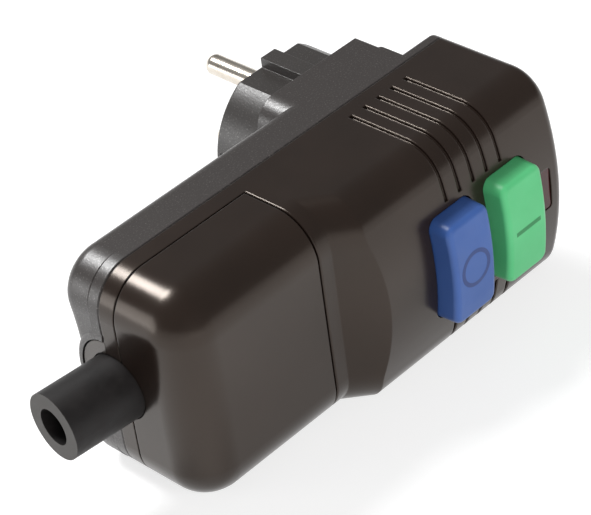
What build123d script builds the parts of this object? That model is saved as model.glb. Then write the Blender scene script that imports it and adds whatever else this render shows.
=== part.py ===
from build123d import *
import math
import os

# A mains plug with a built-in residual current trip. It lies on one long side, as it is photographed.
# X runs from the cord end to the top end, Y from the buttons to the pins, and Z up. Millimetres.
# The origin is the middle of the bounding box, on the surface that the plug lies on.

# Driving dimensions of the body, measured from the parting line (the seam) where a depth is meant.
cord_end = -43.1
top_end = 59.5
width = 50.0
middle = width / 2
seam = -9.4
wall = 2.2
rear_back = seam + 10.4
tower_back = seam + 15.0
rim_back = seam + 2.9
skirt_front = seam - 4.2
cover_front = seam - 23.0
crown_front = seam - 29.9
plan_round = 9.2
end_round = 2.5
seam_bevel = 0.25

# The raised, crowned face that carries the buttons, and the ramp that leads up to it.
crown_radius = 68.0
shoulder_round = 8.6
cover_round = 9.5
cover_edge = -6.1
cover_gap = 0.5
strip_end = -2.2
ramp_slope = 0.945
ramp_run = 10.0

# The earthed plug face and its pins.
plug_x = 39.9
disc_radius = 18.7
disc_face = seam + 34.6
flat_height = 16.3
rib_width = 4.4
pin_radius = 2.4
pin_length = 19.0
pin_spacing = 19.0
disc_wall = 2.5
collar_radius = 16.3
collar_depth = 3.0
face_wall = 4.0

# The cord entry. The rubber sleeve leans a little towards the plug face.
cord_y = seam - 1.8
sleeve_radius = 7.3
bore_radius = 4.0
sleeve_lean = 5.4
sleeve_tip = -59.5
boss_radius = 12.2
tongue_radius = 10.3
tongue_gap = 0.3
flange_radius = 9.5
flange_width = 2.5

# The buttons and the indicator window.
button_xs = {"test": 25.4, "reset": 42.0}
button_top = crown_front - 4.9
button_width = 13.0
button_length = 24.8
button_taper = 2.6
button_base = seam - 25.0
cap_depth = 7.6
test_travel = 1.8
reset_travel = 3.0
button_play = 0.1
button_round = 2.5
window_x = 53.8
window_width = 3.2
window_length = 10.0

# Grooves that run down each side and over the shoulder.
groove_first = 25.4
groove_pitch = 4.15
groove_count = 5
groove_width = 0.8
groove_bevel = 0.2
groove_depth = 0.7
groove_start = seam - 3.9
groove_reach = 13.8

# Inside: the board, the trip coil and the contacts.
board_front = seam - 3.0
board_thick = 1.6
board_start = 10.0
board_stop = 56.6
coil_y = seam - 10.2
yoke_start = 14.0
yoke_stop = 30.4
yoke_sheet = 1.2
lever_x = 34.7
lever_y = seam - 5.2
contact_travel = 2.5
contact_half = 12.0
guide_front = seam - 20.6
guide_thick = 1.4
ring_x = 3.5
ring_y = seam - 6.6

# Screws: shank radius, head radius, head height.
screw_shank = 1.4
screw_head = 2.8
head_height = 1.9
housing_screw_places = [(13.5, 6.5), (13.5, 43.5), (53.5, 6.5), (53.5, 43.5)]
cover_screw_places = [(-34.5, 7.5), (-34.5, 42.5)]
clamp_screw_places = [(-28.5, 14.5), (-28.5, 35.5)]
terminal_zs = [13.0, 25.0, 37.0]
wire_y = seam - 3.2

os.makedirs("parts", exist_ok=True)


def write(name, solid, color):
    """Label a finished piece, give it a colour and write its file."""
    solid.label = name
    solid.color = Color(*color)
    export_step(solid, f"parts/{name}.step")


def at_depth(y):
    """A plane that faces the buttons, with the drawing's x along X and its y along Z."""
    return Plane(origin=(0, y, 0), x_dir=(1, 0, 0), z_dir=(0, -1, 0))


def block(x_range, y_range, z_range):
    """A plain box between three pairs of limits, for cuts, webs and small blocks."""
    size = [high - low for low, high in (x_range, y_range, z_range)]
    centre = [(high + low) / 2 for low, high in (x_range, y_range, z_range)]
    with BuildPart(mode=Mode.PRIVATE) as piece:
        with Locations(tuple(centre)):
            Box(*size)
    return piece.part


def rod(start, end, radius):
    """A round bar between two points."""
    axis = Vector(*end) - Vector(*start)
    with BuildPart(mode=Mode.PRIVATE) as piece:
        with BuildSketch(Plane(origin=start, z_dir=axis)):
            Circle(radius)
        extrude(amount=axis.length)
    return piece.part


def crown_profile(x, inset):
    """The body's section at the buttons: straight sides, round shoulders and a crowned face."""
    crown_centre = (crown_front + crown_radius, middle)
    rise = crown_radius - shoulder_round
    across = middle - shoulder_round
    shoulder_y = crown_centre[0] - math.sqrt(rise**2 - across**2)
    reach = crown_radius - inset
    lean = math.atan2(across, crown_centre[0] - shoulder_y)
    touch_y = crown_centre[0] - reach * math.cos(lean)
    touch_z = reach * math.sin(lean)
    bend = (math.pi / 2 + lean) / 2
    bend_y = shoulder_y - (shoulder_round - inset) * math.cos(bend)
    bend_z = (shoulder_round - inset) * math.sin(bend)
    with BuildSketch(Plane.YZ.offset(x)) as profile:
        with BuildLine():
            Line((seam, inset), (shoulder_y, inset))
            ThreePointArc(
                (shoulder_y, inset), (bend_y, shoulder_round - bend_z), (touch_y, middle - touch_z)
            )
            ThreePointArc(
                (touch_y, middle - touch_z), (crown_front + inset, middle), (touch_y, middle + touch_z)
            )
            ThreePointArc(
                (touch_y, middle + touch_z),
                (bend_y, width - shoulder_round + bend_z),
                (shoulder_y, width - inset),
            )
            Line((shoulder_y, width - inset), (seam, width - inset))
            Line((seam, width - inset), (seam, inset))
        make_face()
    return profile.sketch


def cover_profile(x, front, inset):
    """The body's section at the cord end: straight sides, round corners and a flat front."""
    with BuildSketch(Plane.YZ.offset(x)) as profile:
        with BuildLine():
            Polyline(
                (seam, inset),
                (front + inset, inset),
                (front + inset, width - inset),
                (seam, width - inset),
                close=True,
            )
        make_face()
        fillet(profile.vertices().group_by(Axis.X)[0], radius=cover_round - inset)
    return profile.sketch


def cord_end_outline(y, inset, stop):
    """The body's outline seen from the buttons, with its two round corners at the cord end."""
    with BuildSketch(at_depth(y)) as outline:
        with BuildLine():
            Polyline(
                (cord_end + inset, inset),
                (stop, inset),
                (stop, width - inset),
                (cord_end + inset, width - inset),
                close=True,
            )
        make_face()
        fillet(outline.vertices().group_by(Axis.X)[0], radius=plan_round - inset)
    return outline.sketch


def entry_disc(radius, depth, proud, edge=0, front=seam):
    """The part of a disc round the cord entry that lies behind the seam. Its face leans with the sleeve."""
    face = Vector(cord_end, seam, middle) + tail_axis * proud
    with BuildPart(mode=Mode.PRIVATE) as piece:
        with BuildSketch(Plane(origin=face, x_dir=(0, 0, 1), z_dir=tail_axis)):
            with Locations((0, cord_y - seam)):
                Circle(radius)
        extrude(amount=-depth - proud - 3)
        if edge:
            fillet(piece.faces().sort_by(Axis.X)[0].edges(), radius=edge)
        kept = block((cord_end - 5, cord_end + depth), (front, rear_back), (0, width))
        add(kept, mode=Mode.INTERSECT)
    return piece.part


def screw(place, seat_y, length, direction):
    """A screw whose head stands on seat_y. Direction is +1 with the head on the pin side."""
    x, z = place
    head = direction * head_height
    with BuildPart(mode=Mode.PRIVATE) as piece:
        with BuildSketch(at_depth(seat_y)):
            with Locations((x, z)):
                Circle(screw_head)
        extrude(amount=-head)
        with BuildSketch(at_depth(seat_y)):
            with Locations((x, z)):
                Circle(screw_shank)
        extrude(amount=direction * length)
        recess = 1.1
        with BuildSketch(at_depth(seat_y + head)):
            with Locations((x, z)):
                Rectangle(3.4, 0.8)
                Rectangle(0.8, 3.4)
        extrude(amount=direction * recess, mode=Mode.SUBTRACT)
    return piece.part


def coil(start, axis, radius, length, turns, wire):
    """A spring of square wire, swept along a ten-sided helix."""
    steps = 10
    place = Plane(origin=start, z_dir=axis)
    points = []
    for i in range(round(turns * steps) + 1):
        turn = 2 * math.pi * i / steps
        climb = wire / 2 + (length - wire) * i / (turns * steps)
        points.append(place.from_local_coords((radius * math.cos(turn), radius * math.sin(turn), climb)))
    with BuildPart(mode=Mode.PRIVATE) as piece:
        with BuildLine() as path:
            Polyline(*points)
        with BuildSketch(Plane(origin=path.line @ 0, z_dir=path.line % 0)):
            Rectangle(wire, wire)
        sweep(transition=Transition.RIGHT)
    return piece.part


def lead(points, bend, radius):
    """A round conductor along straight runs joined by arcs."""
    with BuildPart(mode=Mode.PRIVATE) as piece:
        with BuildLine() as path:
            FilletPolyline(*points, radius=bend)
        with BuildSketch(Plane(origin=path.line @ 0, z_dir=path.line % 0)):
            Circle(radius)
        sweep()
    return piece.part


lean = math.radians(sleeve_lean)
tail_axis = Vector(-math.cos(lean), math.sin(lean), 0)
black_matte = (0.05, 0.05, 0.05)
black_gloss = (0.03, 0.025, 0.025)
brass = (0.78, 0.62, 0.30)
steel = (0.70, 0.70, 0.72)
nickel = (0.80, 0.79, 0.76)

# Rear housing: a shallow half shell and a tower that carries the plug insert.
ledge = 1.5
end_dish = 2.6
back_round = 3.0
tower_start = 17.0
tower_stop = 48.4
tower_round = 5.9
with BuildPart() as rear_housing:
    extrude(cord_end_outline(rim_back, 0, top_end), amount=rim_back - seam)
    far_corners = rear_housing.edges().filter_by(Axis.Y).group_by(Axis.X)[-1]
    fillet(far_corners, radius=end_round)
    seam_edges = rear_housing.faces().filter_by(Axis.Y).sort_by(Axis.Y)[0].edges()
    chamfer(seam_edges, length=seam_bevel)
    # The deeper part over the cord end. Its end is dished towards the boss, so that it stands proud of
    # the rim at the round corners only.
    with BuildSketch(at_depth(rear_back)) as deeper:
        with BuildLine():
            Polyline(
                (cord_end - ledge, 0), (tower_stop, 0), (tower_stop, width), (cord_end - ledge, width)
            )
            ThreePointArc(
                (cord_end - ledge, width), (cord_end - ledge + end_dish, middle), (cord_end - ledge, 0)
            )
        make_face()
        fillet(deeper.vertices().group_by(Axis.X)[0], radius=plan_round - 0.5)
    extrude(amount=rear_back - rim_back)
    far_rim = rear_housing.faces().filter_by(Axis.Y).sort_by(Axis.X)[-1]
    fillet(far_rim.edges().group_by(Axis.X)[-1], radius=1.2)
    back = rear_housing.faces().filter_by(Axis.Y).sort_by(Axis.Y)[-1]
    rounded = back.edges().sort_by(Axis.X)[:-1]
    fillet(rounded, radius=back_round)
    # The tower is flush with both long sides.
    with BuildSketch(at_depth(tower_back)) as tower:
        with Locations(((tower_start + tower_stop) / 2, middle)):
            Rectangle(tower_stop - tower_start, width)
        fillet(tower.vertices().group_by(Axis.X)[0], radius=tower_round)
        fillet(tower.vertices().group_by(Axis.X)[-1], radius=1.0)
    extrude(amount=tower_back - rim_back)
    # Half-round boss round the cord entry.
    add(entry_disc(boss_radius, wall, 0.2, 0.8))
    # Hollows, each a wall thickness inside the outer form.
    extrude(cord_end_outline(rear_back - wall, wall, tower_stop - wall), amount=30, mode=Mode.SUBTRACT)
    add(
        block(
            (tower_start + wall, tower_stop - wall),
            (seam - 1, tower_back - wall),
            (wall, width - wall),
        ),
        mode=Mode.SUBTRACT,
    )
    # Round opening that the plug insert's collar drops into.
    with BuildSketch(at_depth(tower_back + 1)):
        with Locations((plug_x, middle)):
            Circle(collar_radius + 0.1)
    extrude(amount=tower_back + 2 - seam, mode=Mode.SUBTRACT)
    # Tubes for the housing screws and the cover screws, and posts for the cord clamp.
    for x, z in housing_screw_places:
        top = rear_back - wall if x < tower_start else rim_back - 1
        with BuildSketch(at_depth(top + 0.5)):
            with Locations((x, z)):
                Circle(3.4)
        extrude(amount=top + 0.5 - board_front - board_thick)
    for x, z in cover_screw_places:
        with BuildSketch(at_depth(rear_back - wall + 0.5)):
            with Locations((x, z)):
                Circle(3.4)
        extrude(amount=rear_back - wall + 0.5 - skirt_front + 0.2)
    for x, z in clamp_screw_places:
        with BuildSketch(at_depth(rear_back - wall + 0.5)):
            with Locations((x, z)):
                Circle(3.0)
        extrude(amount=rear_back - wall + 0.5 - cord_y + bore_radius + 0.2)
    for rib_x in (-31.0, -28.5, -26.0):
        add(block((rib_x - 0.5, rib_x + 0.5), (cord_y + bore_radius, rear_back - 1), (15.0, 35.0)))
    # Two posts that press the sensing ring into its cradle.
    for z in (middle - 3.85, middle + 3.85):
        add(block((ring_x - 2.8, ring_x + 2.8), (ring_y + 9.65, rear_back - 1), (z - 0.95, z + 0.95)))
    # Screw holes with sunk heads.
    for x, z in housing_screw_places:
        top = rear_back if x < tower_start else rim_back
        seat = rear_back - wall + 0.2 if x < tower_start else rim_back - 1.6
        with Locations(Plane(origin=(x, top, z), z_dir=(0, 1, 0))):
            CounterBoreHole(screw_shank + 0.15, screw_head + 0.25, top - seat, depth=30)
    for x, z in cover_screw_places:
        with Locations(Plane(origin=(x, rear_back, z), z_dir=(0, 1, 0))):
            CounterBoreHole(screw_shank + 0.15, screw_head + 0.25, wall - 0.2, depth=30)
    for x, z in clamp_screw_places:
        with Locations(Plane(origin=(x, cord_y - bore_radius - 0.2, z), z_dir=(0, -1, 0))):
            Hole(screw_shank + 0.05, depth=10)
    # Half-round seat for the front housing's tongue.
    add(entry_disc(tongue_radius + tongue_gap, wall + 2.5, 2), mode=Mode.SUBTRACT)
write("rear_housing", rear_housing.part, black_matte)

# Plug insert: the round plug face with a flat and a rib on each side in line with the pins. It stands on
# the tower and, beyond the tower's end, on the rim, and a collar locates it in the tower's opening.
with BuildPart() as plug_insert:
    with BuildSketch(at_depth(disc_face)):
        with Locations((plug_x, middle)):
            Circle(disc_radius)
            Rectangle(3 * disc_radius, 2 * flat_height, mode=Mode.INTERSECT)
            Rectangle(rib_width, 2 * disc_radius - 0.1)
    extrude(amount=disc_face - rim_back)
    face_edges = plug_insert.faces().filter_by(Axis.Y).sort_by(Axis.Y)[-1].edges()
    fillet(face_edges, radius=0.5)
    add(block((0, tower_stop), (rim_back - 1, tower_back), (0, width)), mode=Mode.SUBTRACT)
    with BuildSketch(at_depth(disc_face - face_wall)):
        with Locations((plug_x, middle)):
            Circle(disc_radius - disc_wall)
            Rectangle(3 * disc_radius, 2 * (flat_height - disc_wall), mode=Mode.INTERSECT)
    extrude(amount=disc_face - face_wall - rim_back + 1, mode=Mode.SUBTRACT)
    with BuildSketch(at_depth(tower_back + 1)):
        with Locations((plug_x, middle)):
            Circle(collar_radius)
            Circle(collar_radius - 1.5, mode=Mode.SUBTRACT)
    extrude(amount=collar_depth + 1)
    # Pin holes, and the grooves and slots for the two earth arms.
    for side in (-1, 1):
        with Locations(Plane(origin=(plug_x, disc_face, middle + side * pin_spacing / 2), z_dir=(0, 1, 0))):
            Hole(pin_radius + 0.05, depth=8)
        arm_x = plug_x + side * (disc_radius - 0.7)
        add(
            block((arm_x - 0.7, arm_x + 0.8), (tower_back + 0.8, disc_face - 1.2), (middle - 3.5, middle + 3.5)),
            mode=Mode.SUBTRACT,
        )
        slot = sorted((plug_x + side * (disc_radius - 4.5), arm_x))
        add(block(slot, (tower_back + 0.8, tower_back + 2.6), (middle - 3.3, middle + 3.3)), mode=Mode.SUBTRACT)
write("plug_insert", plug_insert.part, black_matte)

# Front housing: skirt, flush strip, ramp and crowned face. The ramp form is met by the crowned section,
# so that the ramp's upper edge curves with the crown.
ramp_top = cover_front - ramp_slope * ramp_run
inner_start = strip_end + 0.9
body_start = cover_edge + cover_gap
with BuildPart() as ramp_form:
    extrude(cover_profile(body_start, cover_front, 0), amount=strip_end - body_start)
    loft([cover_profile(strip_end, cover_front, 0), cover_profile(strip_end + ramp_run, ramp_top, 0)])
    extrude(cover_profile(strip_end + ramp_run, ramp_top, 0), amount=top_end - strip_end - ramp_run)
with BuildPart() as inner_form:
    extrude(cover_profile(body_start + wall, cover_front, wall), amount=inner_start - body_start - wall)
    loft(
        [
            cover_profile(inner_start, cover_front, wall),
            cover_profile(inner_start + ramp_run, ramp_top, wall),
        ]
    )
    extrude(
        cover_profile(inner_start + ramp_run, ramp_top, wall),
        amount=top_end - wall - inner_start - ramp_run,
    )
    extrude(crown_profile(body_start + wall, wall), amount=top_end - body_start, mode=Mode.INTERSECT)
    # A cradle for the sensing ring is left standing: two forked ribs and a web between them.
    for x in (ring_x - 4.6, ring_x + 3.4):
        with BuildSketch(Plane.YZ.offset(x)):
            with Locations((ring_y - 15.0, middle)):
                Rectangle(30.0, 26.0)
            with Locations((ring_y, middle)):
                Circle(7.6, mode=Mode.SUBTRACT)
        extrude(amount=1.2, mode=Mode.SUBTRACT)
    add(block((ring_x - 4, ring_x + 4), (ring_y - 30, ring_y - 10.22), (22, 28)), mode=Mode.SUBTRACT)

with BuildPart() as front_housing:
    extrude(crown_profile(body_start, 0), amount=top_end - body_start)
    add(ramp_form.part, mode=Mode.INTERSECT)
    far_face = front_housing.faces().filter_by(Axis.X).sort_by(Axis.X)[-1]
    rounded = far_face.edges().sort_by(Axis.Y)[:-1]
    fillet(rounded, radius=end_round)
    near_face = front_housing.faces().filter_by(Axis.X).sort_by(Axis.X)[0]
    fillet(near_face.edges().sort_by(Axis.Y)[:-1], radius=0.4)
    extrude(cord_end_outline(seam, 0, 0), amount=seam - skirt_front)
    seam_edges = front_housing.faces().filter_by(Axis.Y).sort_by(Axis.Y)[-1].outer_wire().edges()
    chamfer(seam_edges, length=seam_bevel)
    add(inner_form.part, mode=Mode.SUBTRACT)
    extrude(cord_end_outline(seam + 1, wall, body_start), amount=10, mode=Mode.SUBTRACT)
    # Half-round tongue that seats in the rear housing, with the cord hole through it.
    add(entry_disc(tongue_radius, wall, 0, front=seam - seam_bevel - 0.1))
    with BuildSketch(Plane.YZ.offset(cord_end - 3)):
        with Locations((cord_y, middle)):
            Circle(sleeve_radius + 0.2)
    extrude(amount=wall + 6, mode=Mode.SUBTRACT)
    # Grooves on both sides.
    for i in range(groove_count):
        x = groove_first + i * groove_pitch
        mouth = groove_width / 2 + groove_bevel
        with BuildPart(mode=Mode.PRIVATE) as groove:
            extrude(crown_profile(x - mouth, -0.5), amount=2 * mouth)
            extrude(
                crown_profile(x - groove_width / 2, groove_depth), amount=groove_width, mode=Mode.SUBTRACT
            )
            # The mouth is bevelled on both sides.
            for side in (-1, 1):
                inner = crown_profile(x + side * groove_width / 2, groove_bevel)
                outer = crown_profile(x + side * mouth, -0.02)
                loft([inner, outer], ruled=True, mode=Mode.SUBTRACT)
            add(block((x - 2, x + 2), (groove_start, seam + 1), (-2, width + 2)), mode=Mode.SUBTRACT)
            inner_z = (middle - groove_reach, middle + groove_reach)
            add(block((x - 1, x + 2), (crown_front - 2, seam + 1), inner_z), mode=Mode.SUBTRACT)
        add(groove.part, mode=Mode.SUBTRACT)
    # Button openings and the indicator window.
    for x in button_xs.values():
        with BuildSketch(at_depth(seam - 22)):
            with Locations((x, middle)):
                opening = (button_width + 2 * button_play, button_length + 2 * button_play)
                RectangleRounded(*opening, button_round + button_play)
        extrude(amount=20, mode=Mode.SUBTRACT)
    with BuildSketch(at_depth(seam - 22)):
        with Locations((window_x, middle)):
            RectangleRounded(window_width, window_length, 0.8)
    extrude(amount=20, mode=Mode.SUBTRACT)
    # Bosses for the housing screws, each joined to the side wall by a web.
    for x, z in housing_screw_places:
        with BuildSketch(at_depth(board_front)):
            with Locations((x, z)):
                Circle(3.0)
                Circle(screw_shank + 0.05, mode=Mode.SUBTRACT)
        extrude(amount=15.0)
        web = (1.0, z - 2.5) if z < middle else (z + 2.5, width - 1.0)
        add(block((x - 0.8, x + 0.8), (board_front - 15.0, board_front), web))
    # Posts for the button guide.
    for x in (17.0, 50.0):
        for z in (8.6, width - 8.6):
            add(rod((x, guide_front, z), (x, crown_front + 3.4, z), 1.8))
    # Window for the load leads in the partition beside the terminal chamber.
    add(block((body_start - 1, body_start + wall + 1), (ring_y - 2.5, seam + 1), (18, 32)), mode=Mode.SUBTRACT)
write("front_housing", front_housing.part, black_gloss)

# Terminal cover: a tray, open on the side of the strip, with a large round along its front edges.
cover_back = skirt_front - 0.4
boss_depth = 11.0
with BuildPart() as terminal_cover:
    extrude(cord_end_outline(cover_back, 0, cover_edge), amount=cover_back - cover_front)
    front = terminal_cover.faces().filter_by(Axis.Y).sort_by(Axis.Y)[0]
    fillet(front.edges().sort_by(Axis.X)[:-1], radius=cover_round)
    with BuildPart(mode=Mode.PRIVATE) as hollow:
        extrude(cord_end_outline(cover_back, wall, cover_edge + 1), amount=cover_back - cover_front - wall)
        floor = hollow.faces().filter_by(Axis.Y).sort_by(Axis.Y)[0]
        fillet(floor.edges().sort_by(Axis.X)[:-1], radius=cover_round - wall)
    add(hollow.part, mode=Mode.SUBTRACT)
    # Bosses that stand on the rear housing's tubes, each with a web to the end wall.
    for x, z in cover_screw_places:
        with BuildSketch(at_depth(skirt_front - 0.2)):
            with Locations((x, z)):
                Circle(3.4)
        extrude(amount=boss_depth)
        web = (skirt_front - 0.2 - boss_depth, skirt_front - 0.2)
        add(block((cord_end + 1.2, x), web, (z - 0.8, z + 0.8)))
        with Locations(Plane(origin=(x, skirt_front - 0.2, z), z_dir=(0, 1, 0))):
            Hole(screw_shank + 0.05, depth=boss_depth - 1)
    # Half-round opening for the sleeve.
    with BuildSketch(Plane.YZ.offset(cord_end - 1)):
        with Locations((cord_y, middle)):
            Circle(sleeve_radius + 0.2)
    extrude(amount=wall + 2, mode=Mode.SUBTRACT)
write("terminal_cover", terminal_cover.part, black_gloss)

# Rubber sleeve: a flange behind the end wall and a leaning tail with an open bore.
tail_root = Vector(cord_end, cord_y, middle)
tail_length = (cord_end - sleeve_tip - sleeve_radius * math.sin(lean)) / math.cos(lean)
inner_face = cord_end + wall
with BuildPart() as cable_sleeve:
    with BuildSketch(Plane(origin=(inner_face, cord_y, middle), z_dir=(1, 0, 0))):
        Circle(flange_radius)
    extrude(amount=flange_width)
    with BuildSketch(Plane(origin=(inner_face, cord_y, middle), z_dir=(-1, 0, 0))):
        Circle(sleeve_radius)
    extrude(amount=wall)
    with BuildSketch(Plane(origin=tail_root - tail_axis, z_dir=tail_axis)):
        Circle(sleeve_radius)
    extrude(amount=tail_length + 1.0)
    with BuildSketch(Plane(origin=tail_root, z_dir=tail_axis)):
        Circle(bore_radius)
    extrude(amount=tail_length + 1, mode=Mode.SUBTRACT)
    with BuildSketch(Plane(origin=(cord_end, cord_y, middle), z_dir=(1, 0, 0))):
        Circle(bore_radius)
    extrude(amount=wall + flange_width + 1, mode=Mode.SUBTRACT)
write("cable_sleeve", cable_sleeve.part, (0.06, 0.055, 0.05))


def push_button(x, stem_tip):
    """A hollow tapered button with a crowned top, a hidden flange and a stem."""
    top_radius = crown_radius + 4.0
    with BuildPart(mode=Mode.PRIVATE) as button:
        with BuildSketch(at_depth(button_base)):
            with Locations((x, middle)):
                RectangleRounded(button_width, button_length, button_round)
        extrude(amount=button_base - button_top + 1, taper=button_taper)
        with BuildSketch(Plane.YZ.offset(x - 20)):
            with Locations((button_top + top_radius, middle)):
                Circle(top_radius)
        extrude(amount=40, mode=Mode.INTERSECT)
        fillet(button.faces().sort_by(Axis.Y)[0].edges(), radius=1.35)
        with BuildSketch(at_depth(button_base)):
            with Locations((x, middle)):
                RectangleRounded(button_width - 3.2, button_length - 3.2, 0.8)
        extrude(amount=cap_depth, taper=button_taper, mode=Mode.SUBTRACT)
        with BuildSketch(at_depth(button_base)):
            with Locations((x, middle)):
                RectangleRounded(button_width + 2.6, button_length + 2.4, 1.8)
                RectangleRounded(button_width - 3.2, button_length - 3.2, 0.8, mode=Mode.SUBTRACT)
        extrude(amount=1.2)
        with BuildSketch(at_depth(stem_tip)):
            with Locations((x, middle)):
                Rectangle(3.6, 3.6)
        extrude(amount=stem_tip - button_base + cap_depth + 0.5)
    return button.part


guide_back = guide_front + guide_thick
test_tip = guide_back
reset_tip = board_front - 0.05 - reset_travel
write("test_button", push_button(button_xs["test"], test_tip), (0.10, 0.20, 0.60))
write("reset_button", push_button(button_xs["reset"], reset_tip), (0.10, 0.60, 0.30))

# Lens of the indicator window, held by a flange behind the crowned wall.
with BuildPart() as window_lens:
    with BuildSketch(at_depth(crown_front + 2.55)):
        with Locations((window_x, middle)):
            RectangleRounded(window_width + 2.2, window_length + 3.0, 0.8)
    extrude(amount=-0.7)
    with BuildSketch(at_depth(crown_front + 2.55)):
        with Locations((window_x, middle)):
            RectangleRounded(window_width - 0.2, window_length - 0.2, 0.7)
    extrude(amount=2.2)
write("window_lens", window_lens.part, (0.25, 0.02, 0.02))


def contact_pin(z):
    """A round plug pin with a domed tip, a flange inside the face and a short shank."""
    tip = disc_face + pin_length
    inside = disc_face - face_wall
    with BuildPart(mode=Mode.PRIVATE) as pin:
        with BuildSketch(at_depth(tip)):
            with Locations((plug_x, z)):
                Circle(pin_radius)
        extrude(amount=pin_length + face_wall)
        with BuildSketch(at_depth(disc_face)):
            with Locations((plug_x, z)):
                Circle(pin_radius)
                Circle(pin_radius - 0.2, mode=Mode.SUBTRACT)
        extrude(amount=face_wall, mode=Mode.SUBTRACT)
        fillet(pin.edges().group_by(Axis.Y)[-1], radius=1.9)
        with BuildSketch(at_depth(inside)):
            with Locations((plug_x, z)):
                Circle(3.8)
        extrude(amount=1.5)
        with BuildSketch(at_depth(inside)):
            with Locations((plug_x, z)):
                Circle(1.8)
        extrude(amount=12.0)
    return pin.part


write("live_pin", contact_pin(middle - pin_spacing / 2), nickel)
write("neutral_pin", contact_pin(middle + pin_spacing / 2), nickel)

# Earth clip: one strip, two arms in the sides of the plug face and a bridge between them.
arm_out = disc_radius - 0.3
bridge_y = tower_back + 1.7
with BuildPart() as earth_clip:
    with BuildSketch(Plane.XY.offset(middle - 3.0)):
        with BuildLine() as strip:
            FilletPolyline(
                (plug_x - arm_out, disc_face - 2.2),
                (plug_x - arm_out, bridge_y),
                (plug_x + arm_out, bridge_y),
                (plug_x + arm_out, disc_face - 2.2),
                radius=0.6,
            )
        trace(line_width=0.8)
    extrude(amount=6.0)
write("earth_clip", earth_clip.part, nickel)


def inlet_strip(z):
    """A brass strip from a pin's shank to the back of the board."""
    shank_end = disc_face - face_wall - 12
    with BuildPart(mode=Mode.PRIVATE) as strip:
        add(block((plug_x - 4.0, plug_x + 2.5), (shank_end - 1.0, shank_end), (z - 2.5, z + 2.5)))
        back = board_front + board_thick
        add(block((plug_x - 4.0, plug_x - 3.0), (back, shank_end - 0.5), (z - 2.5, z + 2.5)))
    return strip.part


write("live_inlet_strip", inlet_strip(middle - pin_spacing / 2), brass)
write("neutral_inlet_strip", inlet_strip(middle + pin_spacing / 2), brass)

# Circuit board, with a hole at each housing screw.
with BuildPart() as circuit_board:
    with BuildSketch(at_depth(board_front + board_thick)):
        with Locations(((board_start + board_stop) / 2, middle)):
            RectangleRounded(board_stop - board_start, width - 2 * wall - 1.0, 1.0)
        with Locations(*housing_screw_places):
            Circle(1.7, mode=Mode.SUBTRACT)
    extrude(amount=board_thick)
write("circuit_board", circuit_board.part, (0.10, 0.35, 0.15))

# Sensing ring: a square-section core and sixteen turns of its winding.
core_inner = 6.5
core_outer = 9.3
core_width = 5.0
with BuildPart() as sensing_core:
    with BuildSketch(Plane(origin=(ring_x - core_width / 2, ring_y, middle), z_dir=(1, 0, 0))):
        Circle(core_outer)
        Circle(core_inner, mode=Mode.SUBTRACT)
    extrude(amount=core_width)
write("sensing_core", sensing_core.part, (0.30, 0.30, 0.32))

turn_count = 16
with BuildPart() as sensing_winding:
    for i in range(turn_count):
        turn = 360 * i / turn_count
        frame = Plane(origin=(ring_x, ring_y, middle), x_dir=(1, 0, 0), z_dir=(0, 1, 0)).rotated((turn, 0, 0))
        with BuildSketch(frame):
            with Locations((0, (core_inner + core_outer) / 2)):
                Rectangle(core_width + 1.8, core_outer - core_inner + 1.8)
                Rectangle(core_width + 0.1, core_outer - core_inner + 0.1, mode=Mode.SUBTRACT)
        extrude(amount=0.5, both=True)
write("sensing_winding", sensing_winding.part, (0.72, 0.35, 0.15))


def load_lead(clamp_z, ring_z):
    """A load conductor from its terminal, through the ring, to the board."""
    points = [
        (-21.0, wire_y, clamp_z),
        (-8.4, wire_y, clamp_z),
        (-8.4, ring_y, ring_z),
        (11.3, ring_y, ring_z),
        (11.3, board_front, ring_z),
    ]
    return lead(points, 1.2, 0.9)


write("live_load_lead", load_lead(terminal_zs[0], middle - 3.4), (0.45, 0.22, 0.10))
write("neutral_load_lead", load_lead(terminal_zs[2], middle + 3.4), (0.10, 0.20, 0.60))

# Earth lead from the clip's bridge to the middle terminal.
earth_points = [
    (30.0, bridge_y - 0.4, middle),
    (30.0, -2.9, middle),
    (-7.2, -2.9, middle),
    (-7.2, wire_y, middle),
    (-21.0, wire_y, middle),
]
write("earth_lead", lead(earth_points, 1.2, 0.9), (0.35, 0.60, 0.15))

# Trip coil: bobbin, winding and a bent steel yoke.
bobbin_start = yoke_start + yoke_sheet
bobbin_stop = yoke_stop - yoke_sheet
with BuildPart() as coil_bobbin:
    with BuildSketch(Plane(origin=(bobbin_start, coil_y, middle), z_dir=(1, 0, 0))):
        Circle(3.4)
    extrude(amount=bobbin_stop - bobbin_start)
    for x in (bobbin_start, bobbin_stop - 1.0):
        with BuildSketch(Plane(origin=(x, coil_y, middle), z_dir=(1, 0, 0))):
            Circle(5.5)
        extrude(amount=1.0)
    with BuildSketch(Plane(origin=(bobbin_start, coil_y, middle), z_dir=(1, 0, 0))):
        Circle(2.5)
    extrude(amount=bobbin_stop - bobbin_start, mode=Mode.SUBTRACT)
write("coil_bobbin", coil_bobbin.part, (0.85, 0.85, 0.80))

with BuildPart() as coil_winding:
    with BuildSketch(Plane(origin=(bobbin_start + 1.0, coil_y, middle), z_dir=(1, 0, 0))):
        Circle(5.1)
        Circle(3.4, mode=Mode.SUBTRACT)
    extrude(amount=bobbin_stop - bobbin_start - 2.0)
write("coil_winding", coil_winding.part, (0.72, 0.35, 0.15))

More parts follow.
